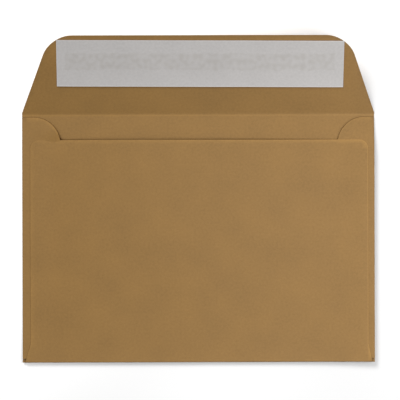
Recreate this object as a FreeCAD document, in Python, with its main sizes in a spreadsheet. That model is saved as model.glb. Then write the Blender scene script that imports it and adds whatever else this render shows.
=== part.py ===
import FreeCAD, Part
import math
import os

import Sketcher

# Paper envelope, opened, lying face down on a table with its pocket up.
#
# One die-cut sheet is folded along four lines: two side flaps turn in over the front
# panel, the back panel turns up over them and is glued to them, and the seal flap is
# left open, standing a little off the table. On the seal flap a strip of adhesive is
# covered by a release liner.
#
# Millimetres. X runs along the envelope, Y from the pocket's bottom to the seal flap,
# Z up. The origin is the middle of the front panel's outer face, on the table.

V = FreeCAD.Vector

# The sizes that drive the model: name, value, what it measures.
SIZES = (
    ("envelope_width", 162, "across the two side folds"),
    ("envelope_height", 114, "from the bottom fold to the seal flap's fold"),
    ("paper", 0.16, "thickness of the sheet"),
    ("side_fold_radius", 0.15, "inside radius of the two side folds"),
    ("mouth_rise", 1.5, "rise of the back panel in the middle of the pocket's mouth"),
    ("corner_notch", 1.25, "from a bottom corner to the end of the folds beside it"),
    ("blank_shift", 0.4, "how far the side folds lie off the sheet's own middle"),
    ("side_flap_width", 17.3, "from a side fold to the side flap's inner edge"),
    ("side_flap_corner", 12.5, "radius of a side flap's upper corner"),
    ("side_flap_foot", 5, "rise of a side flap's sloping lower edge"),
    ("side_flap_drop", 0.7, "from the seal flap's bend down to the side flaps"),
    ("throat", 11.7, "from the seal flap's fold down to the back panel"),
    ("back_inset", 3.3, "from a side fold in to the back panel's edge"),
    ("back_corner", 4, "radius of the back panel's upper corners"),
    ("flare_height", 8, "height over which the back panel widens to its fold"),
    ("seam_glue", 0.05, "thickness of the glue in the two side seams"),
    ("seam_margin", 3.4, "bare paper beside a line of seam glue"),
    ("seam_end", 3, "bare paper at the ends of a line of seam glue"),
    ("flap_angle", 20, "how far the open seal flap stands off the table, degrees"),
    ("flap_fold_radius", 3, "inside radius of the seal flap's soft bend"),
    ("flap_depth", 37.85, "from its fold to the seal flap's edge"),
    ("flap_left_taper", 20.4, "slope of the seal flap's left side, degrees"),
    ("flap_right_taper", 19.2, "slope of the seal flap's right side, degrees"),
    ("flap_corner", 14, "radius of the seal flap's two corners"),
    ("liner_width", 22, "width of the release liner"),
    ("liner_thickness", 0.07, "thickness of the release liner"),
    ("liner_inset", 2.05, "from the seal flap's squared corners to the liner's ends"),
    ("liner_shift", 0.51, "how far the liner lies off the seal flap's middle"),
    ("liner_margin", 2.4, "from the seal flap's edge to the liner"),
    ("adhesive_width", 7.8, "width of the strip of adhesive"),
    ("adhesive_thickness", 0.06, "thickness of the strip of adhesive"),
    ("adhesive_inset", 4.05, "from the liner's ends to the adhesive's ends"),
    ("adhesive_margin", 6.2, "from the liner's upper edge to the adhesive"),
)

# What follows from them. A name without a sheet is an earlier line of this table.
FITS = (
    ("half_width", "sizes.envelope_width / 2"),
    ("half_height", "sizes.envelope_height / 2"),
    ("foot_line", "-half_height"),
    ("left_corner", "-half_width"),
    # heights of the layers, from the front panel up
    ("side_bend", "sizes.side_fold_radius + sizes.paper"),
    ("side_level", "sizes.paper + 2 * sizes.side_fold_radius"),
    ("seam_level", "side_level + sizes.paper"),
    ("back_level", "seam_level + sizes.seam_glue"),
    ("back_top", "back_level + sizes.paper"),
    ("bottom_fold_radius", "(back_level - sizes.paper) / 2"),
    ("bottom_bend", "bottom_fold_radius + sizes.paper"),
    ("low_crest", "back_level + sizes.mouth_rise"),
    ("high_crest", "back_top + sizes.mouth_rise"),
    ("trim_height", "2 * high_crest"),
    # lines where the flat paper of the front panel ends and its bends begin
    ("right_line", "half_width - side_bend"),
    ("left_line", "-right_line"),
    ("bottom_line", "bottom_bend - half_height"),
    ("flap_bend", "sizes.flap_fold_radius + sizes.paper"),
    ("setback", "flap_bend * tan(sizes.flap_angle / 2)"),
    ("flap_line", "half_height - setback"),
    ("panel_width", "2 * right_line"),
    ("panel_height", "flap_line - bottom_line"),
    # ends of the folds
    ("side_foot", "sizes.corner_notch - half_height"),
    ("side_head", "flap_line - sizes.side_flap_drop"),
    ("side_fold_length", "side_head - side_foot"),
    ("bottom_fold_right", "half_width - sizes.corner_notch"),
    ("bottom_fold_left", "-bottom_fold_right"),
    ("bottom_fold_length", "2 * bottom_fold_right"),
    # side flaps
    ("left_flap_edge", "sizes.side_flap_width + sizes.blank_shift - half_width"),
    ("right_flap_edge", "half_width + sizes.blank_shift - sizes.side_flap_width"),
    ("side_foot_rise", "side_foot + sizes.side_flap_foot"),
    # back panel, flat over the side flaps and arched between them
    ("mouth_line", "half_height - sizes.throat"),
    ("back_run", "mouth_line - bottom_line"),
    ("left_strip", "left_flap_edge - left_line"),
    ("right_strip", "right_line - right_flap_edge"),
    ("flare_line", "bottom_line + sizes.flare_height"),
    ("back_left", "sizes.back_inset + sizes.blank_shift - half_width"),
    ("back_right", "half_width + sizes.blank_shift - sizes.back_inset"),
    # glue in the side seams, where the back panel lies over the side flaps
    ("seam_foot", "side_foot_rise + sizes.seam_end"),
    ("seam_head", "mouth_line - sizes.seam_end"),
    ("left_seam_outer", "back_left + sizes.seam_margin"),
    ("left_seam_inner", "left_flap_edge - sizes.seam_margin"),
    ("right_seam_inner", "right_flap_edge + sizes.seam_margin"),
    ("right_seam_outer", "back_right - sizes.seam_margin"),
    # seal flap and what is on it, measured along the flap from its fold
    ("flap_run", "sizes.flap_depth - setback"),
    ("flap_left", "flap_run * tan(sizes.flap_left_taper) - half_width"),
    ("flap_right", "half_width - flap_run * tan(sizes.flap_right_taper)"),
    ("liner_left", "flap_left + sizes.liner_inset + sizes.liner_shift"),
    ("liner_right", "flap_right - sizes.liner_inset + sizes.liner_shift"),
    ("liner_head", "sizes.flap_depth - sizes.liner_margin"),
    ("liner_foot", "liner_head - sizes.liner_width"),
    ("liner_level", "sizes.paper + sizes.adhesive_thickness"),
    ("adhesive_left", "liner_left + sizes.adhesive_inset"),
    ("adhesive_right", "liner_right - sizes.adhesive_inset"),
    ("adhesive_head", "liner_head - sizes.adhesive_margin"),
    ("adhesive_foot", "adhesive_head - sizes.adhesive_width"),
)

START, END, CENTRE_POINT = 1, 2, 1
ORIGIN = (-1, 1)
HALF_TURN = "180"
UP = V(0, 0, 1)
NO_TURN = FreeCAD.Rotation()
# A sketch turned upright: its own Y points up.
UPRIGHT = FreeCAD.Rotation(V(1, 0, 0), 90)

doc = FreeCAD.newDocument("envelope")


def make_sheet(name, rows):
    """A spreadsheet with one named cell for each row."""
    table = doc.addObject("Spreadsheet::Sheet", name)
    for number, (alias, content, note) in enumerate(rows, start=1):
        table.set(f"A{number}", alias)
        table.set(f"B{number}", content)
        table.set(f"C{number}", note)
        table.setAlias(f"B{number}", alias)
    doc.recompute()


def value(cell):
    """The number in a cell, such as sizes.paper."""
    sheet, alias = cell.split(".")
    return float(doc.getObject(sheet).get(alias))


def bind(item, **expressions):
    """Ties an object's properties to cells."""
    for prop, expression in expressions.items():
        item.setExpression(prop, expression)


def put(item, rotation, **places):
    """Turns an object and ties its place along x, y and z to cells."""
    item.Placement = FreeCAD.Placement(V(0, 0, 0), rotation)
    for axis, expression in places.items():
        item.setExpression(f"Placement.Base.{axis}", expression)


def put_on_flap(item):
    """Places an object in the seal flap's own frame: y along the flap from its fold."""
    tilt = FreeCAD.Rotation(V(1, 0, 0), value("sizes.flap_angle"))
    put(item, tilt, y="fits.half_height")
    item.setExpression("Placement.Rotation.Angle", "sizes.flap_angle")


def size_of(sketch, constraint, cell):
    """Adds a dimension to a sketch and ties it to a cell."""
    index = sketch.addConstraint(constraint)
    sketch.setExpression(f"Constraints[{index}]", cell)


def pin(sketch, point, x_cell, y_cell):
    """Holds a point of a sketch at the place that two cells give."""
    x, y = value(x_cell), value(y_cell)
    size_of(sketch, Sketcher.Constraint("DistanceX", *ORIGIN, *point, x), x_cell)
    size_of(sketch, Sketcher.Constraint("DistanceY", *ORIGIN, *point, y), y_cell)


def corner_shape(before, corner, after, radius):
    """Where the rounding of a corner starts, passes its middle and ends."""
    arriving = (corner - before).normalize()
    leaving = (after - corner).normalize()
    reach = radius * math.tan(arriving.getAngle(leaving) / 2)
    start = corner - arriving * reach
    end = corner + leaving * reach
    inward = V(-arriving.y, arriving.x, 0)
    centre = start + inward * radius
    middle = centre + (corner - centre).normalize() * radius
    return start, middle, end


def draw_outline(sketch, corners):
    """Draws a closed outline, anticlockwise, from its corners.

    A corner is the cells of its x and y, and of its radius where it is rounded.
    """
    sharp = [V(value(corner[0]), value(corner[1]), 0) for corner in corners]
    rounds = []
    for place, corner in enumerate(corners):
        before, point = sharp[place - 1], sharp[place]
        after = sharp[(place + 1) % len(sharp)]
        if len(corner) > 2:
            rounds.append(corner_shape(before, point, after, value(corner[2])))
        else:
            rounds.append((point, point, point))
    edges = []
    for place in range(len(corners)):
        leave = rounds[place][2]
        arrive = rounds[(place + 1) % len(rounds)][0]
        edges.append(sketch.addGeometry(Part.LineSegment(leave, arrive), False))
    for place, corner in enumerate(corners):
        arriving, leaving = edges[place - 1], edges[place]
        if len(corner) == 2:
            join = Sketcher.Constraint("Coincident", arriving, END, leaving, START)
            sketch.addConstraint(join)
            pin(sketch, (leaving, START), *corner)
            continue
        arc = sketch.addGeometry(Part.Arc(*rounds[place]), False)
        point = sketch.addGeometry(Part.Point(sharp[place]), True)
        meets = Sketcher.Constraint("Tangent", arriving, END, arc, START)
        leaves = Sketcher.Constraint("Tangent", arc, END, leaving, START)
        on_first = Sketcher.Constraint("PointOnObject", point, CENTRE_POINT, arriving)
        on_second = Sketcher.Constraint("PointOnObject", point, CENTRE_POINT, leaving)
        sketch.addConstraint([meets, leaves, on_first, on_second])
        pin(sketch, (point, CENTRE_POINT), corner[0], corner[1])
        rounding = Sketcher.Constraint("Radius", arc, value(corner[2]))
        size_of(sketch, rounding, corner[2])


def rectangle(left, right, foot, head):
    """The corners of a rectangle between four cells."""
    return ((left, foot), (right, foot), (right, head), (left, head))


def draw_arch(sketch):
    """Draws the back panel's section at the mouth, from one side flap to the other."""
    left, right = value("fits.left_flap_edge"), value("fits.right_flap_edge")
    layers = (("fits.back_level", "fits.low_crest"), ("fits.back_top", "fits.high_crest"))
    arcs = []
    for level, crest in layers:
        foot = value(level)
        top = V(value("sizes.blank_shift"), value(crest), 0)
        curve = Part.Arc(V(right, foot, 0), top, V(left, foot, 0))
        arc = sketch.addGeometry(curve, False)
        point = sketch.addGeometry(Part.Point(top), True)
        pin(sketch, (arc, START), "fits.right_flap_edge", level)
        pin(sketch, (arc, END), "fits.left_flap_edge", level)
        pin(sketch, (point, CENTRE_POINT), "sizes.blank_shift", crest)
        sketch.addConstraint(Sketcher.Constraint("PointOnObject", point, CENTRE_POINT, arc))
        arcs.append(arc)
    for end, x in ((START, right), (END, left)):
        low, high = V(x, value("fits.back_level"), 0), V(x, value("fits.back_top"), 0)
        edge = sketch.addGeometry(Part.LineSegment(low, high), False)
        lower = Sketcher.Constraint("Coincident", edge, START, arcs[0], end)
        upper = Sketcher.Constraint("Coincident", edge, END, arcs[1], end)
        sketch.addConstraint([lower, upper])


def back_arch():
    """The middle of the back panel: flat at the bottom fold, arched at the mouth."""
    foot = doc.addObject("Sketcher::SketchObject", "back_foot_section")
    put(foot, UPRIGHT, y="fits.bottom_line")
    edges = rectangle(
        "fits.left_flap_edge", "fits.right_flap_edge", "fits.back_level", "fits.back_top"
    )
    draw_outline(foot, edges)
    mouth = doc.addObject("Sketcher::SketchObject", "back_mouth_section")
    put(mouth, UPRIGHT, y="fits.mouth_line")
    draw_arch(mouth)
    arch = doc.addObject("Part::Loft", "back_arch")
    arch.Sections = [foot, mouth]
    arch.Solid = True
    arch.Ruled = True
    return arch


def prism(name, corners, height):
    """An outline drawn on the table and raised to a height."""
    sketch = doc.addObject("Sketcher::SketchObject", f"{name}_outline")
    draw_outline(sketch, corners)
    solid = doc.addObject("Part::Extrusion", f"{name}_prism")
    solid.Base = sketch
    solid.DirMode = "Custom"
    solid.Dir = UP
    solid.Solid = True
    bind(solid, LengthFwd=height)
    return solid


def fold(name, turn, radius, outer, angle, length, **places):
    """A bend of the sheet: a sector of a tube that starts at its lowest line."""
    outside = doc.addObject("Part::Cylinder", f"{name}_outside")
    bind(outside, Radius=outer, Angle=angle, Height=length)
    inside = doc.addObject("Part::Cylinder", f"{name}_inside")
    bind(inside, Radius=radius, Height=length)
    for cylinder in (outside, inside):
        put(cylinder, turn, **places)
    bend = doc.addObject("Part::Cut", name)
    bend.Base = outside
    bend.Tool = inside
    return bend


def turned_from_below(towards, along):
    """Turns a tube so that it bends from its lowest line to a side, along an axis."""
    return FreeCAD.Rotation(V(0, 0, -1), towards, along, "XYZ")


def flat_piece(name, width, height, **places):
    """A rectangle of flat paper."""
    piece = doc.addObject("Part::Box", name)
    bind(piece, Length=width, Width=height, Height="sizes.paper")
    put(piece, NO_TURN, **places)
    return piece


def front_panel():
    """The panel on the table, left square at its corners, between the folds."""
    notch = "sizes.corner_notch"
    drop = "sizes.side_flap_drop"
    middle = {"x": "fits.left_line", "y": "fits.bottom_line"}
    head = {"x": "fits.left_corner", "y": "fits.side_head"}
    left_foot = {"x": "fits.left_corner", "y": "fits.foot_line"}
    right_foot = {"x": "fits.bottom_fold_right", "y": "fits.foot_line"}
    return [
        flat_piece("front_middle", "fits.panel_width", "fits.panel_height", **middle),
        flat_piece("front_head", "sizes.envelope_width", drop, **head),
        flat_piece("front_left_foot", notch, notch, **left_foot),
        flat_piece("front_right_foot", notch, notch, **right_foot),
    ]


def side_folds():
    """The two folds that carry the side flaps."""
    shape = (
        "sizes.side_fold_radius",
        "fits.side_bend",
        HALF_TURN,
        "fits.side_fold_length",
    )
    leftward = turned_from_below(V(-1, 0, 0), V(0, 1, 0))
    rightward = turned_from_below(V(1, 0, 0), V(0, -1, 0))
    left_place = {"x": "fits.left_line", "y": "fits.side_foot", "z": "fits.side_bend"}
    right_place = {"x": "fits.right_line", "y": "fits.side_head", "z": "fits.side_bend"}
    return [
        fold("left_fold", leftward, *shape, **left_place),
        fold("right_fold", rightward, *shape, **right_place),
    ]


def side_flaps():
    """The two flaps that turn in over the front panel."""
    left = (
        ("fits.left_line", "fits.side_foot"),
        ("fits.left_flap_edge", "fits.side_foot_rise"),
        ("fits.left_flap_edge", "fits.side_head", "sizes.side_flap_corner"),
        ("fits.left_line", "fits.side_head"),
    )
    right = (
        ("fits.right_line", "fits.side_foot"),
        ("fits.right_line", "fits.side_head"),
        ("fits.right_flap_edge", "fits.side_head", "sizes.side_flap_corner"),
        ("fits.right_flap_edge", "fits.side_foot_rise"),
    )
    flaps = [
        prism("left_side_flap", left, "sizes.paper"),
        prism("right_side_flap", right, "sizes.paper"),
    ]
    for flap in flaps:
        put(flap, NO_TURN, z="fits.side_level")
    return flaps


def back_panel():
    """The panel that turns up from the bottom fold and closes the pocket."""
    left = {"x": "fits.left_line", "y": "fits.bottom_line", "z": "fits.back_level"}
    right = {"x": "fits.right_flap_edge", "y": "fits.bottom_line", "z": "fits.back_level"}
    untrimmed = doc.addObject("Part::MultiFuse", "back_untrimmed")
    untrimmed.Shapes = [
        flat_piece("back_left_strip", "fits.left_strip", "fits.back_run", **left),
        back_arch(),
        flat_piece("back_right_strip", "fits.right_strip", "fits.back_run", **right),
    ]
    corners = (
        ("fits.bottom_fold_left", "fits.bottom_line"),
        ("fits.bottom_fold_right", "fits.bottom_line"),
        ("fits.back_right", "fits.flare_line"),
        ("fits.back_right", "fits.mouth_line", "sizes.back_corner"),
        ("fits.back_left", "fits.mouth_line", "sizes.back_corner"),
        ("fits.back_left", "fits.flare_line"),
    )
    panel = doc.addObject("Part::Common", "back_panel")
    panel.Base = untrimmed
    panel.Tool = prism("back", corners, "fits.trim_height")
    return panel


def bottom_fold():
    """The fold between the front panel and the back panel."""
    return fold(
        "bottom_fold",
        turned_from_below(V(0, -1, 0), V(-1, 0, 0)),
        "fits.bottom_fold_radius",
        "fits.bottom_bend",
        HALF_TURN,
        "fits.bottom_fold_length",
        x="fits.bottom_fold_right",
        y="fits.bottom_line",
        z="fits.bottom_bend",
    )


def seal_flap():
    """The open flap and the soft bend that it stands up from."""
    bend = fold(
        "flap_fold",
        turned_from_below(V(0, 1, 0), V(1, 0, 0)),
        "sizes.flap_fold_radius",
        "fits.flap_bend",
        "sizes.flap_angle",
        "sizes.envelope_width",
        x="fits.left_corner",
        y="fits.flap_line",
        z="fits.flap_bend",
    )
    corners = (
        ("fits.left_corner", "fits.setback"),
        ("fits.half_width", "fits.setback"),
        ("fits.flap_right", "sizes.flap_depth", "sizes.flap_corner"),
        ("fits.flap_left", "sizes.flap_depth", "sizes.flap_corner"),
    )
    panel = prism("seal_flap", corners, "sizes.paper")
    put_on_flap(panel)
    return [bend, panel]


def make_folded_sheet():
    """The one sheet of paper that the envelope is folded from."""
    sheet = doc.addObject("Part::MultiFuse", "folded_sheet")
    sheet.Shapes = [
        *front_panel(),
        *side_folds(),
        *side_flaps(),
        bottom_fold(),
        back_panel(),
        *seal_flap(),
    ]
    sheet.Refine = True
    return sheet


def make_strip(name, corners, level, thickness):
    """A thin flat strip at a level of its own."""
    body = doc.addObject("PartDesign::Body", name)
    planes = body.Origin.OriginFeatures
    flat = next(plane for plane in planes if plane.Role == "XY_Plane")
    sketch = body.newObject("Sketcher::SketchObject", f"{name}_outline")
    sketch.AttachmentSupport = [(flat, "")]
    sketch.MapMode = "FlatFace"
    sketch.setExpression("AttachmentOffset.Base.z", level)
    draw_outline(sketch, rectangle(*corners))
    pad = body.newObject("PartDesign::Pad", f"{name}_pad")
    pad.Profile = sketch
    bind(pad, Length=thickness)
    return body


def make_seam_glue():
    """The two lines of dried glue that hold the back panel to the side flaps."""
    ends = ("fits.seam_foot", "fits.seam_head")
    place = ("fits.seam_level", "sizes.seam_glue")
    left = ("fits.left_seam_outer", "fits.left_seam_inner", *ends)
    right = ("fits.right_seam_inner", "fits.right_seam_outer", *ends)
    return [
        make_strip("left_seam_glue", left, *place),
        make_strip("right_seam_glue", right, *place),
    ]


def make_adhesive():
    """The pressure-sensitive strip on the seal flap's inner face."""
    ends = ("fits.adhesive_left", "fits.adhesive_right")
    sides = ("fits.adhesive_foot", "fits.adhesive_head")
    place = ("sizes.paper", "sizes.adhesive_thickness")
    strip = make_strip("seal_adhesive", (*ends, *sides), *place)
    put_on_flap(strip)
    return strip


def make_liner():
    """The siliconised paper that keeps the adhesive clean until it is used."""
    ends = ("fits.liner_left", "fits.liner_right")
    sides = ("fits.liner_foot", "fits.liner_head")
    place = ("fits.liner_level", "sizes.liner_thickness")
    strip = make_strip("release_liner", (*ends, *sides), *place)
    put_on_flap(strip)
    return strip


def check_and_write(pieces):
    """Stops on any object that failed, then writes one file for each piece."""
    for item in doc.Objects:
        bad = {"Invalid", "Error"} & set(item.State)
        if bad:
            raise RuntimeError(f"{item.Name} did not build: {item.State}")
    for piece in pieces:
        if piece.Shape.isNull() or not piece.Shape.isValid():
            raise RuntimeError(f"{piece.Label} has no valid shape")
        if len(piece.Shape.Solids) != 1:
            raise RuntimeError(f"{piece.Label} is not one solid")
    os.makedirs("parts", exist_ok=True)
    for piece in pieces:
        piece.Shape.exportStep(f"parts/{piece.Label}.step")
        box = piece.Shape.BoundBox
        print(f"{piece.Label}: {box.XLength:.2f} x {box.YLength:.2f} x {box.ZLength:.2f} mm")


make_sheet("sizes", [(name, str(size), note) for name, size, note in SIZES])
make_sheet("fits", [(name, f"={formula}", "") for name, formula in FITS])
parts = [make_folded_sheet(), *make_seam_glue(), make_adhesive(), make_liner()]
doc.recompute()
check_and_write(parts)
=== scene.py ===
import math

import bmesh
import bpy
from mathutils import Matrix, Vector, noise


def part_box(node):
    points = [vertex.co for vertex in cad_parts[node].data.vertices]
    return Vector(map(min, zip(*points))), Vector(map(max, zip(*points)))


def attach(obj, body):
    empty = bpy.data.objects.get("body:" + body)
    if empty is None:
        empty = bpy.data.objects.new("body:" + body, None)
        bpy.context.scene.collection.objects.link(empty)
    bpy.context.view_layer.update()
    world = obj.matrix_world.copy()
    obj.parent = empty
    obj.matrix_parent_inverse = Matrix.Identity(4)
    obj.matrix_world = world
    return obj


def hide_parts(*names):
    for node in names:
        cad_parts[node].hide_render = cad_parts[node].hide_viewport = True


# Paper envelope, opened, lying on its front with its pocket up.
#
# The sheet is made as the real one is: a flat die-cut blank is drawn, cut into a mesh,
# given its thickness and then folded along its creases. The liner and the adhesive are
# separate strips that lie on the seal flap. Lengths are metres.

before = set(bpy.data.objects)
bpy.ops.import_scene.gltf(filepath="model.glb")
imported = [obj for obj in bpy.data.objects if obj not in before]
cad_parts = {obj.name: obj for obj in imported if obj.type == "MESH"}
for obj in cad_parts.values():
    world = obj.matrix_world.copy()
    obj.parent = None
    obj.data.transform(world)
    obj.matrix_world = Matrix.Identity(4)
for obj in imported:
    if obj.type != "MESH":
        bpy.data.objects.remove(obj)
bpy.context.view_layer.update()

MM = 0.001
UP = Vector((0, 0, 1))
ALONG_X = Vector((1, 0, 0))
ALONG_Y = Vector((0, 1, 0))

# The sheet
SHEET_LOW, SHEET_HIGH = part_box("folded_sheet")
HALF_WIDTH = SHEET_HIGH.x
HALF_HEIGHT = -SHEET_LOW.y
PAPER = 0.16 * MM
BLANK_SHIFT = 0.4 * MM

# Bends, by their outside radius
SIDE_BEND = 0.31 * MM
BOTTOM_BEND = 0.415 * MM
FLAP_BEND = 5.16 * MM
FLAP_TILT = math.radians(20)
FLAP_SETBACK = FLAP_BEND * math.tan(FLAP_TILT / 2)
HALF_TURN_STEPS = 10
FLAP_STEPS = 8

# Lines where flat paper ends and a bend begins
SIDE_LINE = HALF_WIDTH - SIDE_BEND
BOTTOM_LINE = BOTTOM_BEND - HALF_HEIGHT
FLAP_LINE = HALF_HEIGHT - FLAP_SETBACK

# Side flaps, and the corners where the die leaves a notch between two folds
CORNER_NOTCH = 1.25 * MM
DIE_GAP = 0.05 * MM
SIDE_FLAP_WIDTH = 17.3 * MM
SIDE_FLAP_CORNER = 12.5 * MM
SIDE_FLAP_FOOT = 5 * MM
SIDE_FLAP_DROP = 0.35 * MM
SIDE_FOOT = CORNER_NOTCH - HALF_HEIGHT
SIDE_HEAD = FLAP_LINE - SIDE_FLAP_DROP

# Back panel
THROAT = 11.7 * MM
BACK_INSET = 3.3 * MM
BACK_CORNER = 4 * MM
FLARE_HEIGHT = 8 * MM
MOUTH_LINE = HALF_HEIGHT - THROAT
BACK_RUN = MOUTH_LINE - BOTTOM_LINE

# Seal flap, measured along it from its fold
FLAP_DEPTH = 37.85 * MM
FLAP_RUN = FLAP_DEPTH - FLAP_SETBACK
FLAP_LEFT_TAPER = math.radians(20.4)
FLAP_RIGHT_TAPER = math.radians(19.2)
FLAP_CORNER = 14 * MM
FLAP_FRAME = Matrix.Translation((0, HALF_HEIGHT, 0)) @ Matrix.Rotation(FLAP_TILT, 4, "X")

# Adhesive and liner, measured along the flap from its fold
LINER_HEAD = FLAP_DEPTH - 2.4 * MM
LINER_FOOT = LINER_HEAD - 22 * MM
LINER_TURN = math.radians(0.3)
LINER_THICKNESS = 0.07 * MM
ADHESIVE_HEAD = LINER_HEAD - 6.2 * MM
ADHESIVE_FOOT = ADHESIVE_HEAD - 7.8 * MM
ADHESIVE_THICKNESS = 0.06 * MM

# How the pocket stands off its flat layers; it stands higher on the left
SEAM_INNER_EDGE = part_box("right_seam_glue")[0].x
MOUTH_RISE = 1.5 * MM
MOUTH_LEAN = 0.9
LEAST_LEAN = 0.4
SIDE_SHARE = 0.8
FREE_LIFT = 0.7 * MM
FREE_START = MOUTH_LINE - 1 * MM
FREE_FULL = MOUTH_LINE + 2 * MM
CUT_EDGE_DROP = 0.05 * MM

# How the closed envelope curls up off the table
SIDE_CURL = 1.95 * MM
CURL_START = 16 * MM
CURL_HEAD = HALF_HEIGHT * 0.65
FOOT_CURL = 0.9 * MM

# Cockle of the paper; it fades out beside a fold
PANEL_COCKLE = 0.12 * MM
PANEL_FADE = 0.2
FLAP_COCKLE = 0.12 * MM
FLAP_FADE = 9 * MM

# How the liner lifts and wrinkles
FOOT_LIFT = 0.28 * MM
HEAD_LIFT = 0.08 * MM
LIFT_SWAY = 0.35
WRINKLE = 0.03 * MM

# Length of the waves, and the layer of the smooth noise that they are taken from
PANEL_WAVES = (34 * MM, 2)
FLAP_WAVES = (38 * MM, 7)
LIFT_WAVES = (21 * MM, 4)
WRINKLE_WAVES = (1.7 * MM, 1)

# Mesh fineness
GRID = 2.5 * MM
SIDE_FLAP_COLUMNS = 8
FRONT_ROWS = 45
BACK_ROWS = 42
FLAP_ROWS = 16
EDGE_BAND = 0.8 * MM
LINER_GRID = 0.35 * MM
CORNER_SEGMENTS = 16
SAME_PLACE = 0.002 * MM
SHARP_ANGLE = math.radians(40)

# The UV map holds the flat blank, in decimetres, and the inner face beside the outer one
UV_SCALE = 10
UV_TO_MM = 100
INNER_FACE_SHIFT = 3

# Paleness, wear and darkening marked on the sheet, from 0 to 1: the pocket's cut edges are pale
# of themselves and as painted highlight, more so towards the right of the back panel, and the
# right side flap's edge is kept less pale as painted shade; all folds are a little paler with
# wear, the side folds are also marked darker, and the seal flap's crease is pale with wear and a
# painted highlight
BACK_EDGE_PALENESS = 0.65
BACK_EDGE_RIGHT_HIGHLIGHT = 0.35
LEFT_FLAP_EDGE_PALENESS = 0.6
RIGHT_FLAP_EDGE_PALENESS = 0.45
SIDE_FOLD_DARKENING = 0.5
BODY_FOLD_WEAR = 0.3
SEAL_FOLD_WEAR_AND_HIGHLIGHT_WIDTH = 0.35 * MM

# Colours
WHITE = (1, 1, 1, 1)
KRAFT = (0.282, 0.1506, 0.0353)
FLECK = (0.12, 0.06, 0.02, 1)
# Dark brown of the painted shade in narrow gaps
GAP_PAINTED_SHADE = (0.055, 0.012, 0.001, 1)
LINER = (0.521, 0.503, 0.493)
LINER_BAND = (0.3, 0.27, 0.22, 1)
LINER_CUT = (0.85, 0.8, 0.77, 1)
ADHESIVE = (0.4, 0.38, 0.35)
GLUE = (0.55, 0.5, 0.4)
# The floor is painted greyer towards the right: painted shade against the brighter light there.
FLOOR_LEFT = (0.98, 0.98, 0.98, 1)
FLOOR_RIGHT_SHADED = (0.86, 0.86, 0.86, 1)

# Each finish's clouds, mottle and fibres, and how dark and how light its grain gets
KRAFT_GRAIN = (0.45, 0.5, 0.12)
KRAFT_TONES = (0.72, 1.28)
LINER_GRAIN = (0.3, 0.5, 0.12)
LINER_TONES = (0.8, 1.2)
GLUE_GRAIN = (0.5, 0.6, 0.02)
GLUE_TONES = (0.75, 1.2)

# Grain of paper: sizes per millimetre, and limits of the noise
CLOUD_SCALE = 0.07
MOTTLE_SCALE = 0.9
FLECK_SCALE = 0.3
FLECK_CHOICE = 0.55
FLECK_CORE = 0.02
FLECK_RIM = 0.06
FIBRE_BAND = 0.03

# Fibres: their turn in degrees, and their length and width in millimetres
LIGHT_FIBRES = ((8, 2.2, 0.16), (-34, 1.7, 0.14))
DARK_FIBRES = ((23, 1.9, 0.15), (-71, 1.5, 0.13))

# Kraft paper
CUT_LIGHTNESS = 1.15
PALE_LIGHTNESS = 2
SOIL_LIGHTNESS = 0.5
FLECK_SHARE = 0.35
FOLD_PALENESS = 0.17
CUT_PALENESS_AND_HIGHLIGHT = 0.33
SOIL_SHARE = 0.25
KRAFT_SHINE = 0.5

# Painted shade in the narrow gaps between two layers, where little light gets in
GAP_REACH = 5 * MM
GAP_DARK = 0.45
GAP_CLEAR = 0.75
GAP_SHADE_SHARE = 0.75
GAP_SHINE = 0.1

# The adhesive's band under the liner, in millimetres
BAND_WANDER = 2.5
BAND_WANDER_SCALE = 0.35
BAND_EDGE = 0.4
BAND_SHARE = 0.23
BLOTCH_SCALE = 0.45
BLOTCH_LOW = 0.38
BLOTCH_HIGH = 0.66
BLOTCH_LEAST = 0.15
LINER_CUT_PALENESS = 0.3

# Camera, floor and light
CAMERA_PLACE = (-0.0053, 0.0239, 0.96)
CAMERA_TILT = (-0.377, -0.3615, -0.1544)
CAMERA_LENS = 187.6
FLOOR_DROP = 0.02 * MM
# Painted light: the floor glows, most on the left and at the top, not at all on the right and at
# the bottom.
FLOOR_PAINTED_GLOW = 0.45
PAINTED_GLOW_START = -45 * MM
PAINTED_GLOW_END = 125 * MM
SKY_LIGHT = 0.275

# Each light's direction, distance, size and share of the light on the table
LIGHTS = {
    "key_light": ((-0.65, 1.1, 1), 2, 0.8, 0.425),
    "side_fill": ((0.24, -0.03, 0.2), 0.314, 0.12, 0.158),
    "upper_fill": ((0.16, -0.02, 0.4), 0.45, 0.2, 0.258),
}


def bend_length(radius, angle, steps):
    """Length of flat paper that one straight step of a bend takes up."""
    return 2 * radius * math.tan(angle / steps / 2)


SIDE_STEP = bend_length(SIDE_BEND, math.pi, HALF_TURN_STEPS)
BOTTOM_STEP = bend_length(BOTTOM_BEND, math.pi, HALF_TURN_STEPS)
FLAP_STEP = bend_length(FLAP_BEND, FLAP_TILT, FLAP_STEPS)
SIDE_END = SIDE_LINE + HALF_TURN_STEPS * SIDE_STEP
BOTTOM_END = BOTTOM_LINE - HALF_TURN_STEPS * BOTTOM_STEP
FLAP_END = FLAP_LINE + FLAP_STEPS * FLAP_STEP


def ramp(value, low, high):
    """0 below low, 1 above high, and a smooth rise in between."""
    share = min(1, max(0, (value - low) / (high - low)))
    return share * share * (3 - 2 * share)


def bell(distance, width):
    """1 at no distance, and a smooth fall to nearly 0 at twice the width."""
    return math.exp(-((distance / width) ** 2))


def wave(x, y, length, layer):
    """Smooth noise from -1 to 1 whose waves are about as long as length."""
    return noise.noise(Vector((x / length, y / length, layer)))


# The flat blank


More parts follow.
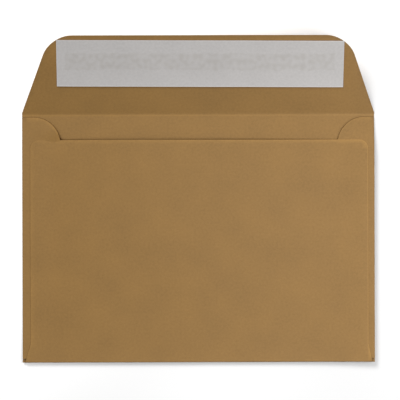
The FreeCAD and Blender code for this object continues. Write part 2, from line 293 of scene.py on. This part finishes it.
def add_panel(bm, corners, edge_band=0):
    """One flat panel of the blank; a corner is x, y and, if it is rounded, its radius."""
    verts = [bm.verts.new((corner[0], corner[1], 0)) for corner in corners]
    face = bm.faces.new(verts)
    points = [Vector(corner[:2]) for corner in corners]
    for place, corner in enumerate(corners):
        if len(corner) == 2:
            continue
        before = points[place - 1] - points[place]
        after = points[(place + 1) % len(points)] - points[place]
        rounded = bmesh.ops.bevel(
            bm,
            geom=[verts[place]],
            offset=corner[2] / math.tan(before.angle(after) / 2),
            offset_type="OFFSET",
            segments=CORNER_SEGMENTS,
            profile=0.5,
            affect="VERTICES",
            material=-1,
        )
        face = rounded["verts"][0].link_faces[0]
    if edge_band:
        bmesh.ops.inset_region(bm, faces=[face], thickness=edge_band, use_even_offset=True)


def add_rectangle(bm, left, foot, right, head):
    """A square-cornered panel."""
    add_panel(bm, ((left, foot), (right, foot), (right, head), (left, head)))


def draw_front_panel(bm):
    """The front panel, with its square corners between the folds."""
    add_rectangle(bm, -SIDE_LINE, BOTTOM_LINE, SIDE_LINE, FLAP_LINE)
    fold_side = HALF_WIDTH - CORNER_NOTCH + DIE_GAP
    for side in (-1, 1):
        inner, outer = sorted((side * SIDE_LINE, side * HALF_WIDTH))
        add_rectangle(bm, inner, SIDE_HEAD + DIE_GAP, outer, FLAP_LINE)
        add_rectangle(bm, inner, BOTTOM_LINE, outer, SIDE_FOOT - DIE_GAP)
        inner, outer = sorted((side * fold_side, side * HALF_WIDTH))
        add_rectangle(bm, inner, -HALF_HEIGHT, outer, BOTTOM_LINE)


def draw_side_flap(bm, side):
    """A side flap with its bend, unfolded; side is -1 for the left one."""
    inner_edge = side * (HALF_WIDTH - SIDE_FLAP_WIDTH) + BLANK_SHIFT
    far_edge = side * (SIDE_END + SIDE_LINE) - inner_edge
    corners = [
        (side * SIDE_LINE, SIDE_FOOT),
        (far_edge, SIDE_FOOT + SIDE_FLAP_FOOT),
        (far_edge, SIDE_HEAD, SIDE_FLAP_CORNER),
        (side * SIDE_LINE, SIDE_HEAD),
    ]
    add_panel(bm, corners[::side], EDGE_BAND)


def draw_back_panel(bm):
    """The back panel with its bend, unfolded below the front panel."""
    half_fold = HALF_WIDTH - CORNER_NOTCH
    left = BACK_INSET + BLANK_SHIFT - HALF_WIDTH
    right = HALF_WIDTH + BLANK_SHIFT - BACK_INSET
    mouth = BOTTOM_END - BACK_RUN
    flare = BOTTOM_END - FLARE_HEIGHT
    add_rectangle(bm, -half_fold, BOTTOM_END, half_fold, BOTTOM_LINE)
    corners = (
        (half_fold, BOTTOM_END),
        (-half_fold, BOTTOM_END),
        (left, flare),
        (left, mouth, BACK_CORNER),
        (right, mouth, BACK_CORNER),
        (right, flare),
    )
    add_panel(bm, corners[::-1], EDGE_BAND)


def draw_seal_flap(bm):
    """The seal flap with its bend, unfolded above the front panel."""
    edge = FLAP_END + FLAP_RUN
    left = FLAP_RUN * math.tan(FLAP_LEFT_TAPER) - HALF_WIDTH
    right = HALF_WIDTH - FLAP_RUN * math.tan(FLAP_RIGHT_TAPER)
    add_rectangle(bm, -HALF_WIDTH, FLAP_LINE, HALF_WIDTH, FLAP_END)
    corners = (
        (-HALF_WIDTH, FLAP_END),
        (HALF_WIDTH, FLAP_END),
        (right, edge, FLAP_CORNER),
        (left, edge, FLAP_CORNER),
    )
    add_panel(bm, corners, EDGE_BAND)


def bend_lines(start, step, count):
    """Joints between a bend's straight steps, outwards from where the bend begins."""
    return [start + (place + 0.5) * step for place in range(count)]


def cut_lines():
    """Where the blank is cut into a mesh: an even grid, and the joints of each bend."""
    fold_side = HALF_WIDTH - CORNER_NOTCH
    half = bend_lines(SIDE_LINE, SIDE_STEP, HALF_TURN_STEPS)
    half += [HALF_WIDTH, SIDE_LINE, fold_side, fold_side + DIE_GAP]
    half += [place * GRID for place in range(1, int(SIDE_LINE / GRID))]
    half += [SIDE_END + place * GRID for place in range(SIDE_FLAP_COLUMNS)]
    columns = [0] + half + [-x for x in half]
    rows = [-y for y in bend_lines(-BOTTOM_LINE, BOTTOM_STEP, HALF_TURN_STEPS)]
    rows += bend_lines(FLAP_LINE, FLAP_STEP, FLAP_STEPS)
    rows += [BOTTOM_LINE, FLAP_LINE, SIDE_HEAD, SIDE_HEAD + DIE_GAP]
    rows += [SIDE_FOOT, SIDE_FOOT - DIE_GAP]
    rows += [BOTTOM_LINE + place * GRID for place in range(1, FRONT_ROWS)]
    rows += [BOTTOM_END - place * GRID for place in range(BACK_ROWS)]
    rows += [FLAP_END + place * GRID for place in range(FLAP_ROWS)]
    return columns, rows


def cut_blank(bm):
    """Cuts every panel along the same lines, so that the panels share their corners."""
    columns, rows = cut_lines()
    for normal, places in ((ALONG_X, columns), (ALONG_Y, rows)):
        for place in sorted(places):
            bmesh.ops.bisect_plane(
                bm,
                geom=bm.verts[:] + bm.edges[:] + bm.faces[:],
                dist=SAME_PLACE / 4,
                plane_co=normal * place,
                plane_no=normal,
            )
    bmesh.ops.remove_doubles(bm, verts=bm.verts[:], dist=SAME_PLACE)


# Folding


def bend(bm, flat, outwards, start, step, angle, count, belongs):
    """Folds up what lies beyond a crease, one straight step of the bend after another.

    outwards points away from the front panel, and belongs says which part is folded.
    """
    axis = outwards.cross(UP)
    turn = angle / count
    for line in reversed(bend_lines(start, step, count)):
        beyond = []
        on_line = []
        for vert in bm.verts:
            reach = vert[flat].dot(outwards) - line
            if reach < -SAME_PLACE or not belongs(vert[flat]):
                continue
            (beyond if reach > SAME_PLACE else on_line).append(vert)
        for verts, share in ((beyond, 1), (on_line, 0.5)):
            bmesh.ops.rotate(
                bm,
                cent=outwards * line,
                matrix=Matrix.Rotation(turn * share, 3, axis),
                verts=verts,
            )


def in_side_flap(point):
    """Whether a point beside the front panel is on a side flap, not on a square corner."""
    return SIDE_FOOT - DIE_GAP / 2 < point.y < SIDE_HEAD + DIE_GAP / 2


def in_back_panel(point):
    """Whether a point below the front panel is on the back panel."""
    return abs(point.x) < HALF_WIDTH - CORNER_NOTCH + DIE_GAP / 2


def in_seal_flap(point):
    """Everything above the front panel is on the seal flap."""
    return True


def fold_blank(bm, flat):
    """Folds the side flaps in, the back panel up over them and the seal flap a little."""
    for outwards in (-ALONG_X, ALONG_X):
        half_turn = (math.pi, HALF_TURN_STEPS, in_side_flap)
        bend(bm, flat, outwards, SIDE_LINE, SIDE_STEP, *half_turn)
    half_turn = (math.pi, HALF_TURN_STEPS, in_back_panel)
    bend(bm, flat, -ALONG_Y, -BOTTOM_LINE, BOTTOM_STEP, *half_turn)
    tilt = (FLAP_TILT, FLAP_STEPS, in_seal_flap)
    bend(bm, flat, ALONG_Y, FLAP_LINE, FLAP_STEP, *tilt)


# How the folded paper stands


def curl(x, y):
    """How far the closed envelope curls up off the table at its foot and its right side."""
    rightwards = (x + CURL_START) / (HALF_WIDTH + CURL_START)
    side = rightwards**4 * ramp(-y, -HALF_HEIGHT, -CURL_HEAD)
    foot = (min(0, y) / HALF_HEIGHT) ** 4
    return math.hypot(SIDE_CURL * side, FOOT_CURL * foot)


def lean(x):
    """How much more the pocket stands open at a place than in its middle."""
    return 1 - MOUTH_LEAN * x / SEAM_INNER_EDGE


def back_rise(x, y):
    """How far the back panel's middle stands off the front panel, most at the mouth."""
    across = max(0, 1 - abs(x / SEAM_INNER_EDGE) ** 3)
    along = max(0, (y - BOTTOM_LINE) / BACK_RUN)
    cockle = PANEL_COCKLE * wave(x, y, *PANEL_WAVES) * ramp(along, 0, PANEL_FADE)
    return across * (MOUTH_RISE * lean(x) * along + cockle)


def side_rise(x, y):
    """How far a side flap's free edge stands up, under the back panel and past it."""
    reach = ((SIDE_LINE - abs(x)) / SIDE_FLAP_WIDTH) ** 2
    free = FREE_LIFT * max(LEAST_LEAN, lean(x)) * reach * ramp(y, FREE_START, FREE_FULL)
    return SIDE_SHARE * back_rise(x, min(y, MOUTH_LINE)) + free


def flap_rise(x, along):
    """How far the seal flap and what lies on it stand off a flat plane."""
    return FLAP_COCKLE * wave(x, along, *FLAP_WAVES) * ramp(along, 0, FLAP_FADE)


def stand_up(bm, flat, cut_edge):
    """Lets the folded paper stand off its flat layers, as real paper does."""
    flap_normal = FLAP_FRAME.to_3x3() @ UP
    for vert in bm.verts:
        place = vert[flat]
        if place.y > FLAP_END:
            vert.co += flap_normal * flap_rise(place.x, place.y - FLAP_END + FLAP_SETBACK)
            continue
        rise = curl(vert.co.x, vert.co.y)
        if place.y < BOTTOM_END:
            rise += back_rise(vert.co.x, vert.co.y) - CUT_EDGE_DROP * vert[cut_edge]
        elif abs(place.x) > SIDE_END:
            rise += side_rise(vert.co.x, vert.co.y) - CUT_EDGE_DROP * vert[cut_edge]
        vert.co.z += rise


# Finished pieces


def mark_edges(bm):
    """Marks the vertices on cut edges: cut_edge in the pocket, handled_edge elsewhere."""
    cut_edge = bm.verts.layers.float.new("cut_edge")
    handled_edge = bm.verts.layers.float.new("handled_edge")
    half_side = (SIDE_END - SIDE_LINE) / 2
    for vert in bm.verts:
        if not vert.is_boundary:
            # Along the side folds the paper is marked to be painted darker.
            fold = bell(abs(vert.co.x) - SIDE_LINE - half_side, half_side)
            vert[handled_edge] = SIDE_FOLD_DARKENING * fold if vert.co.y > BOTTOM_END else 0
        elif vert.co.y < BOTTOM_END:
            # Painted highlight: the back panel's cut edge grows paler towards the right, on top
            # of its own paleness.
            rightwards = (vert.co.x / HALF_WIDTH) ** 3
            vert[cut_edge] = BACK_EDGE_PALENESS + BACK_EDGE_RIGHT_HIGHLIGHT * rightwards
        elif abs(vert.co.x) > SIDE_END:
            # The right side flap's edge is kept less pale than the left one: painted shade along
            # it.
            vert[cut_edge] = LEFT_FLAP_EDGE_PALENESS if vert.co.x < 0 else RIGHT_FLAP_EDGE_PALENESS
        else:
            vert[handled_edge] = 1
    return cut_edge


def mark_folds(bm, flat):
    """Marks how much paler the paper is at a fold, from 0 to 1: worn at the side and bottom
    folds, and worn and painted with a highlight along the seal flap's crease.
    """
    fold_wear_and_highlight = bm.verts.layers.float.new("fold_wear_and_highlight")
    half_side = (SIDE_END - SIDE_LINE) / 2
    half_bottom = (BOTTOM_LINE - BOTTOM_END) / 2
    for vert in bm.verts:
        place = vert[flat]
        side = bell(abs(place.x) - SIDE_LINE - half_side, half_side)
        bottom = bell(BOTTOM_LINE - place.y - half_bottom, half_bottom)
        # Painted highlight along the seal flap's crease, on top of its wear.
        seal = bell(place.y - HALF_HEIGHT + SEAL_FOLD_WEAR_AND_HIGHLIGHT_WIDTH, SEAL_FOLD_WEAR_AND_HIGHLIGHT_WIDTH)
        vert[fold_wear_and_highlight] = max(BODY_FOLD_WEAR * side, BODY_FOLD_WEAR * bottom, seal)


def write_blank_uv(bm, flat):
    """Keeps the blank's own coordinates as the UV map and marks the cut faces."""
    layer = bm.loops.layers.uv.new("blank")
    for face in bm.faces:
        is_cut = abs(face.normal.z) < 0.5
        face.material_index = 1 if is_cut else 0
        shift = INNER_FACE_SHIFT if face.normal.z > 0.5 else 0
        for loop in face.loops:
            place = loop.vert[flat] * UV_SCALE
            rise = loop.vert.co.z * UV_SCALE if is_cut else 0
            loop[layer].uv = (place.x + shift + rise, place.y + rise)


def keep_flat_places(bm):
    """Keeps where each vertex lies on the flat paper, for the folds and the pattern."""
    flat = bm.verts.layers.float_vector.new("flat")
    for vert in bm.verts:
        vert[flat] = vert.co
    return flat


def give_thickness(bm, thickness):
    """Grows a flat mesh upwards into a closed sheet."""
    grown = bmesh.ops.extrude_face_region(bm, geom=bm.faces[:])
    upper = [item for item in grown["geom"] if isinstance(item, bmesh.types.BMVert)]
    bmesh.ops.translate(bm, vec=UP * thickness, verts=upper)
    bmesh.ops.recalc_face_normals(bm, faces=bm.faces[:])


def finish_piece(name, bm, node, materials):
    """Turns a finished mesh into the piece that stands for a node of the model."""
    bmesh.ops.recalc_face_normals(bm, faces=bm.faces[:])
    for face in bm.faces:
        face.smooth = True
    mesh = bpy.data.meshes.new(name)
    bm.to_mesh(mesh)
    bm.free()
    mesh.set_sharp_from_angle(angle=SHARP_ANGLE)
    for material in materials:
        mesh.materials.append(material)
    piece = bpy.data.objects.new(name, mesh)
    bpy.context.scene.collection.objects.link(piece)
    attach(piece, "root")
    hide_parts(node)


def make_sheet(materials):
    """The folded sheet, from its flat blank."""
    bm = bmesh.new()
    draw_front_panel(bm)
    draw_side_flap(bm, -1)
    draw_side_flap(bm, 1)
    draw_back_panel(bm)
    draw_seal_flap(bm)
    cut_blank(bm)
    cut_edge = mark_edges(bm)
    flat = keep_flat_places(bm)
    give_thickness(bm, PAPER)
    write_blank_uv(bm, flat)
    mark_folds(bm, flat)
    fold_blank(bm, flat)
    stand_up(bm, flat, cut_edge)
    finish_piece("envelope_sheet", bm, "folded_sheet", materials)


def make_strip(foot, head, left, right, grid, level, thickness, relief):
    """A thin strip, in cells twice as high as wide; relief gives its height at a place."""
    bm = bmesh.new()
    columns = round((right - left) / grid)
    rows = round((head - foot) / grid / 2)
    bmesh.ops.create_grid(bm, x_segments=columns, y_segments=rows, size=0.5)
    bmesh.ops.scale(bm, vec=(right - left, head - foot, 1), verts=bm.verts[:])
    mark = bm.verts.layers.float.new("cut_edge")
    for vert in bm.verts:
        vert[mark] = 1 if vert.is_boundary else 0
    middle = Vector(((left + right) / 2, (foot + head) / 2, level))
    bmesh.ops.translate(bm, vec=middle, verts=bm.verts[:])
    flat = keep_flat_places(bm)
    give_thickness(bm, thickness)
    write_blank_uv(bm, flat)
    for vert in bm.verts:
        vert.co.z += relief(vert.co.x, vert.co.y)
    return bm, middle


def make_seam_glue(node, material):
    """A line of dried glue between a side flap and the back panel."""
    low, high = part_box(node)
    strip = (low.y, high.y, low.x, high.x, GRID, low.z, high.z - low.z)
    bm, _ = make_strip(*strip, curl)
    finish_piece(node + "_line", bm, node, [material, material])


def liner_relief(x, along):
    """The liner is wrinkled where the adhesive holds it and stands up at its free edges."""
    above_foot = ramp(along, ADHESIVE_FOOT - MM, ADHESIVE_FOOT)
    below_head = ramp(-along, -ADHESIVE_HEAD - MM, -ADHESIVE_HEAD)
    wrinkle = WRINKLE * above_foot * below_head * wave(x, along, *WRINKLE_WAVES)
    below = max(0, (ADHESIVE_FOOT - along) / (ADHESIVE_FOOT - LINER_FOOT))
    above = max(0, (along - ADHESIVE_HEAD) / (LINER_HEAD - ADHESIVE_HEAD))
    sway = 1 + LIFT_SWAY * wave(x, along, *LIFT_WAVES)
    lift = sway * (FOOT_LIFT * below**2 + HEAD_LIFT * above**2)
    return flap_rise(x, along) + wrinkle + lift


def make_liner(material):
    """The release liner, cut square and stuck on a little turned."""
    low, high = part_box("release_liner")
    level = PAPER + ADHESIVE_THICKNESS
    strip = (LINER_FOOT, LINER_HEAD, low.x, high.x, LINER_GRID, level, LINER_THICKNESS)
    bm, middle = make_strip(*strip, liner_relief)
    turn = Matrix.Rotation(-LINER_TURN, 3, "Z")
    bmesh.ops.rotate(bm, cent=middle, matrix=turn, verts=bm.verts[:])
    bmesh.ops.transform(bm, matrix=FLAP_FRAME, verts=bm.verts[:])
    finish_piece("liner_strip", bm, "release_liner", [material, material])


def make_adhesive(material):
    """The adhesive strip under the liner."""
    low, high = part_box("seal_adhesive")
    strip = (ADHESIVE_FOOT, ADHESIVE_HEAD, low.x, high.x, GRID / 2, PAPER, ADHESIVE_THICKNESS)
    bm, _ = make_strip(*strip, flap_rise)
    bmesh.ops.transform(bm, matrix=FLAP_FRAME, verts=bm.verts[:])
    finish_piece("adhesive_strip", bm, "seal_adhesive", [material, material])


# Materials


def add_node(tree, kind, values, **settings):
    """Adds a node; a value is a number, a colour or another node's output."""
    node = tree.nodes.new("ShaderNode" + kind)
    for name, setting in settings.items():
        setattr(node, name, setting)
    for socket, value in values.items():
        if isinstance(value, bpy.types.NodeSocket):
            tree.links.new(value, node.inputs[socket])
        else:
            node.inputs[socket].default_value = value
    return node


def calculate(tree, operation, *values):
    """A sum, product or other calculation with one or two values."""
    node = add_node(tree, "Math", dict(enumerate(values)), operation=operation)
    return node.outputs[0]


def mix(tree, share, first, second, blend="MIX"):
    """A colour between two colours."""
    values = {0: share, 6: first, 7: second}
    node = add_node(tree, "Mix", values, data_type="RGBA", blend_type=blend)
    return node.outputs[2]


def between(tree, value, low, high, start, end):
    """A value that goes from start to end as another goes from low to high."""
    values = {"Value": value, "From Min": low, "From Max": high, "To Min": start, "To Max": end}
    return add_node(tree, "MapRange", values, interpolation_type="SMOOTHSTEP").outputs[0]


def inside(tree, value, low, high):
    """1 between two limits and 0 outside them, with soft edges."""
    after = between(tree, value, low - BAND_EDGE, low + BAND_EDGE, 0.0, 1.0)
    before = between(tree, value, high - BAND_EDGE, high + BAND_EDGE, 1.0, 0.0)
    return calculate(tree, "MULTIPLY", after, before)


def speckle(tree, place, scale, detail=2.0):
    """Smooth noise around 0.5."""
    values = {"Vector": place, "Scale": scale, "Detail": detail}
    return add_node(tree, "TexNoise", values).outputs["Fac"]


def new_group(name, inputs, outputs):
    """An empty node group with named inputs and outputs."""
    tree = bpy.data.node_groups.new(name, "ShaderNodeTree")
    for label, kind in inputs.items():
        tree.interface.new_socket(label, in_out="INPUT", socket_type="NodeSocket" + kind)
    for label, kind in outputs.items():
        tree.interface.new_socket(label, in_out="OUTPUT", socket_type="NodeSocket" + kind)
    given = tree.nodes.new("NodeGroupInput").outputs
    result = tree.nodes.new("NodeGroupOutput").inputs
    return tree, given, result


def strands(tree, place, turn, length, width):
    """Thin lines of fibre that run mostly one way; 1 on a fibre and 0 beside it."""
    lay = {
        "Vector": place,
        "Rotation": (0, 0, math.radians(turn)),
        "Scale": (1 / length, 1 / width, 1),
    }
    laid = add_node(tree, "Mapping", lay).outputs[0]
    values = {"Vector": laid, "Scale": 1.0, "Detail": 1.0, "Distortion": 0.5}
    field = add_node(tree, "TexNoise", values).outputs["Fac"]
    off = calculate(tree, "ABSOLUTE", calculate(tree, "SUBTRACT", field, 0.5))
    return between(tree, off, 0.0, FIBRE_BAND, 1.0, 0.0)


def lay_fibres(tree, place, fibres):
    """Fibres that lie two ways over each other."""
    first, second = [strands(tree, place, *fibre) for fibre in fibres]
    return calculate(tree, "MAXIMUM", first, second)


def make_grain_group():
    """Paper as pressed fibre: clouds, mottle, light and dark fibres, and a few flecks."""
    inputs = {"Place": "Vector", "Clouds": "Float", "Mottle": "Float", "Fibres": "Float"}
    outputs = {"Tone": "Float", "Flecks": "Float", "Relief": "Float"}
    tree, given, result = new_group("paper_grain", inputs, outputs)
    place = given["Place"]
    clouds = calculate(tree, "SUBTRACT", speckle(tree, place, CLOUD_SCALE, 3.0), 0.5)
    mottle = calculate(tree, "SUBTRACT", speckle(tree, place, MOTTLE_SCALE), 0.5)
    light = lay_fibres(tree, place, LIGHT_FIBRES)
    dark = lay_fibres(tree, place, DARK_FIBRES)
    tone = calculate(tree, "MULTIPLY", clouds, given["Clouds"])
    tone = calculate(tree, "ADD", tone, calculate(tree, "MULTIPLY", mottle, given["Mottle"]))
    fibre = calculate(tree, "MULTIPLY", calculate(tree, "SUBTRACT", light, dark), given["Fibres"])
    tone = calculate(tree, "ADD", calculate(tree, "ADD", tone, fibre), 0.5)
    cells = add_node(tree, "TexVoronoi", {"Vector": place, "Scale": FLECK_SCALE})
    chosen = add_node(tree, "SeparateColor", {"Color": cells.outputs["Color"]}).outputs[0]
    chosen = calculate(tree, "GREATER_THAN", chosen, FLECK_CHOICE)
    fleck = between(tree, cells.outputs["Distance"], FLECK_CORE, FLECK_RIM, 1.0, 0.0)
    relief = calculate(tree, "ADD", mottle, calculate(tree, "MULTIPLY", light, 0.5))
    relief = calculate(tree, "SUBTRACT", relief, calculate(tree, "MULTIPLY", dark, 0.3))
    tree.links.new(tone, result["Tone"])
    tree.links.new(calculate(tree, "MULTIPLY", fleck, chosen), result["Flecks"])
    tree.links.new(relief, result["Relief"])
    return tree


def new_material(name, roughness, specular):
    """An empty material with its shader."""
    material = bpy.data.materials.new(name)
    material.use_nodes = True
    tree = material.node_tree
    tree.nodes.clear()
    values = {"Roughness": roughness, "Specular IOR Level": specular}
    shader = add_node(tree, "BsdfPrincipled", values)
    output = tree.nodes.new("ShaderNodeOutputMaterial")
    tree.links.new(shader.outputs[0], output.inputs[0])
    return material, tree, shader.inputs


def marked(tree, name, strength):
    """What was marked on the mesh, at a material's own strength."""
    node = add_node(tree, "Attribute", {}, attribute_name=name)
    return calculate(tree, "MULTIPLY", node.outputs["Fac"], strength)


def blank_place(tree):
    """The place on the flat blank, in millimetres."""
    uv = add_node(tree, "UVMap", {}, uv_map="blank").outputs[0]
    return add_node(tree, "Mapping", {"Vector": uv, "Scale": (UV_TO_MM,) * 3}).outputs[0]


def object_place(tree):
    """The place on the object, in metres."""
    return tree.nodes.new("ShaderNodeTexCoord").outputs["Object"]


def add_grain(tree, group, place, amounts):
    """Places the grain group with a finish's own amounts of clouds, mottle and fibres."""
    node = tree.nodes.new("ShaderNodeGroup")
    node.node_tree = group
    tree.links.new(place, node.inputs["Place"])
    for name, amount in zip(("Clouds", "Mottle", "Fibres"), amounts):
        node.inputs[name].default_value = amount
    return node.outputs


def shade(colour, factor):
    """A colour made darker or lighter."""
    return tuple(channel * factor for channel in colour[:3]) + (1,)


def grained(tree, grain, colour, tones):
    """A colour that follows the grain between two tones."""
    return mix(tree, grain["Tone"], shade(colour, tones[0]), shade(colour, tones[1]))


def bump(tree, height, strength, distance):
    """Normals of a surface with a fine relief."""
    values = {"Height": height, "Strength": strength, "Distance": distance}
    return add_node(tree, "Bump", values).outputs[0]


def narrow_gap(tree):
    """1 in a narrow gap between two layers of paper, and 0 where light gets in."""
    values = {"Distance": GAP_REACH}
    openness = add_node(tree, "AmbientOcclusion", values, samples=16).outputs["AO"]
    return between(tree, openness, GAP_DARK, GAP_CLEAR, 1.0, 0.0)


def make_kraft(name, group, colour):
    """Brown unbleached paper, paler at its cut edges and folds, partly as painted highlight, a
    little soiled outside and darker along the side folds, with painted shade in narrow gaps
    between layers.
    """
    material, tree, shader = new_material(name, 0.55, KRAFT_SHINE)
    grain = add_grain(tree, group, blank_place(tree), KRAFT_GRAIN)
    paint = grained(tree, grain, colour, KRAFT_TONES)
    paint = mix(tree, calculate(tree, "MULTIPLY", grain["Flecks"], FLECK_SHARE), paint, FLECK)
    # Folds are paler with wear, and the seal flap's crease also with a painted highlight.
    worn_and_highlit = marked(tree, "fold_wear_and_highlight", FOLD_PALENESS)
    # Pale cut edges: partly their own paleness, partly a painted highlight.
    cut = marked(tree, "cut_edge", CUT_PALENESS_AND_HIGHLIGHT)
    pale = mix(tree, 1.0, paint, shade(WHITE, PALE_LIGHTNESS), "MULTIPLY")
    paint = mix(tree, calculate(tree, "MAXIMUM", worn_and_highlit, cut), paint, pale)
    # Darker at the handled edges as soil, and darker along the side folds.
    soiled_and_darker = marked(tree, "handled_edge", SOIL_SHARE)
    paint = mix(tree, soiled_and_darker, paint, shade(colour, SOIL_LIGHTNESS))
    gap = narrow_gap(tree)
    # Painted shade: the paint turns dark brown in the narrow gaps that ambient occlusion finds.
    paint = mix(tree, calculate(tree, "MULTIPLY", gap, GAP_SHADE_SHARE), paint, GAP_PAINTED_SHADE)
    shine = between(tree, gap, 0.0, 1.0, KRAFT_SHINE, GAP_SHINE)
    roughness = between(tree, grain["Relief"], -0.5, 0.7, 0.64, 0.5)
    tree.links.new(paint, shader["Base Color"])
    tree.links.new(shine, shader["Specular IOR Level"])
    tree.links.new(roughness, shader["Roughness"])
    tree.links.new(bump(tree, grain["Relief"], 0.35, 0.02 * MM), shader["Normal"])
    return material


def adhesive_band(tree, place, blotches):
    """How much of the adhesive shows through the liner, with wandering edges."""
    parts = add_node(tree, "SeparateXYZ", {"Vector": place}).outputs
    wander = calculate(tree, "SUBTRACT", speckle(tree, place, BAND_WANDER_SCALE), 0.5)
    wander = calculate(tree, "MULTIPLY", wander, BAND_WANDER)
    across = calculate(tree, "ADD", parts["X"], wander)
    along = calculate(tree, "ADD", parts["Y"], wander)
    low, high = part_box("seal_adhesive")
    shift = INNER_FACE_SHIFT * UV_TO_MM
    band = inside(tree, along, ADHESIVE_FOOT / MM, ADHESIVE_HEAD / MM)
    ends = inside(tree, across, low.x / MM + shift, high.x / MM + shift)
    shown = calculate(tree, "MULTIPLY", calculate(tree, "MULTIPLY", band, ends), blotches)
    return calculate(tree, "MULTIPLY", shown, BAND_SHARE)


def make_liner_paper(group):
    """Smooth off-white paper; the adhesive below shows through it as a darker band."""
    material, tree, shader = new_material("release_liner_paper", 0.5, 0.4)
    place = blank_place(tree)
    grain = add_grain(tree, group, place, LINER_GRAIN)
    paint = grained(tree, grain, LINER, LINER_TONES)
    blotches = speckle(tree, place, BLOTCH_SCALE, 3.0)
    blotches = between(tree, blotches, BLOTCH_LOW, BLOTCH_HIGH, BLOTCH_LEAST, 1.0)
    paint = mix(tree, adhesive_band(tree, place, blotches), paint, LINER_BAND)
    paint = mix(tree, marked(tree, "cut_edge", LINER_CUT_PALENESS), paint, LINER_CUT)
    roughness = between(tree, blotches, BLOTCH_LEAST, 1.0, 0.46, 0.58)
    tree.links.new(paint, shader["Base Color"])
    tree.links.new(roughness, shader["Roughness"])
    tree.links.new(bump(tree, grain["Relief"], 0.15, 0.02 * MM), shader["Normal"])
    return material


def make_glue(name, group, colour, roughness):
    """Glue or adhesive: an uneven film with small ripples."""
    material, tree, shader = new_material(name, roughness, 0.5)
    values = {"Vector": object_place(tree), "Scale": (1 / MM,) * 3}
    place = add_node(tree, "Mapping", values).outputs[0]
    grain = add_grain(tree, group, place, GLUE_GRAIN)
    tree.links.new(grained(tree, grain, colour, GLUE_TONES), shader["Base Color"])
    tree.links.new(bump(tree, grain["Relief"], 0.4, 0.05 * MM), shader["Normal"])
    return material


# Floor, light and camera


def make_floor():
    """A white table top that glows on the left and at the top, painted light that overexposes it
    there, and is painted greyer towards the right, painted shade against the brighter light
    there.
    """
    bm = bmesh.new()
    bmesh.ops.create_grid(bm, x_segments=1, y_segments=1, size=2)
    bmesh.ops.translate(bm, vec=UP * -FLOOR_DROP, verts=bm.verts[:])
    mesh = bpy.data.meshes.new("table_top")
    bm.to_mesh(mesh)
    bm.free()
    material, tree, shader = new_material("table_top_white", 0.7, 0.2)
    parts = add_node(tree, "SeparateXYZ", {"Vector": object_place(tree)}).outputs
    # Painted shade greyer to the right, and painted light glowing on the left and at the top.
    rightwards = between(tree, parts["X"], 0.0, HALF_WIDTH, 0.0, 1.0)
    away = calculate(tree, "SUBTRACT", parts["Y"], parts["X"])
    painted_glow = between(tree, away, PAINTED_GLOW_START, PAINTED_GLOW_END, 0.0, FLOOR_PAINTED_GLOW)
    shader["Emission Color"].default_value = WHITE
    tree.links.new(mix(tree, rightwards, FLOOR_LEFT, FLOOR_RIGHT_SHADED), shader["Base Color"])
    tree.links.new(painted_glow, shader["Emission Strength"])
    mesh.materials.append(material)
    floor = bpy.data.objects.new("table_top", mesh)
    bpy.context.scene.collection.objects.link(floor)


def add_light(name, direction, distance, size, share):
    """A soft square light; share is about the brightness that it gives on the table."""
    light = bpy.data.lights.new(name, "AREA")
    light.shape = "SQUARE"
    light.size = size
    lamp = bpy.data.objects.new(name, light)
    towards = Vector(direction).normalized()
    light.energy = share * (math.pi * distance) ** 2 / towards.z
    lamp.location = towards * distance
    lamp.rotation_euler = towards.to_track_quat("Z", "Y").to_euler()
    bpy.context.scene.collection.objects.link(lamp)


def add_world(share):
    """Even light from all around, with a white background behind the table."""
    world = bpy.data.worlds.new("studio")
    world.use_nodes = True
    tree = world.node_tree
    is_seen = tree.nodes.new("ShaderNodeLightPath").outputs["Is Camera Ray"]
    strength = between(tree, is_seen, 0.0, 1.0, share, 1.0)
    background = tree.nodes["Background"].inputs
    background["Color"].default_value = WHITE
    tree.links.new(strength, background["Strength"])
    bpy.context.scene.world = world


def add_camera():
    """The photograph's view: straight down from almost a metre, hardly tilted."""
    camera = bpy.data.objects.new("camera", bpy.data.cameras.new("camera"))
    camera.data.sensor_width = 36
    camera.data.lens = CAMERA_LENS
    turn = Matrix.Identity(4)
    for angle, axis in zip(CAMERA_TILT, "XYZ"):
        turn = turn @ Matrix.Rotation(math.radians(angle), 4, axis)
    camera.matrix_world = Matrix.Translation(CAMERA_PLACE) @ turn
    bpy.context.scene.collection.objects.link(camera)
    bpy.context.scene.camera = camera


grain_group = make_grain_group()
kraft_face = make_kraft("kraft_paper_face", grain_group, KRAFT)
kraft_cut = make_kraft("kraft_paper_cut", grain_group, shade(KRAFT, CUT_LIGHTNESS))
make_sheet([kraft_face, kraft_cut])
make_liner(make_liner_paper(grain_group))
make_adhesive(make_glue("adhesive_film", grain_group, ADHESIVE, 0.3))
seam_glue = make_glue("seam_glue_dried", grain_group, GLUE, 0.6)
make_seam_glue("left_seam_glue", seam_glue)
make_seam_glue("right_seam_glue", seam_glue)

make_floor()
for light_name, light_values in LIGHTS.items():
    add_light(light_name, *light_values)
add_world(SKY_LIGHT)
add_camera()
bpy.context.scene.view_settings.view_transform = "Standard"
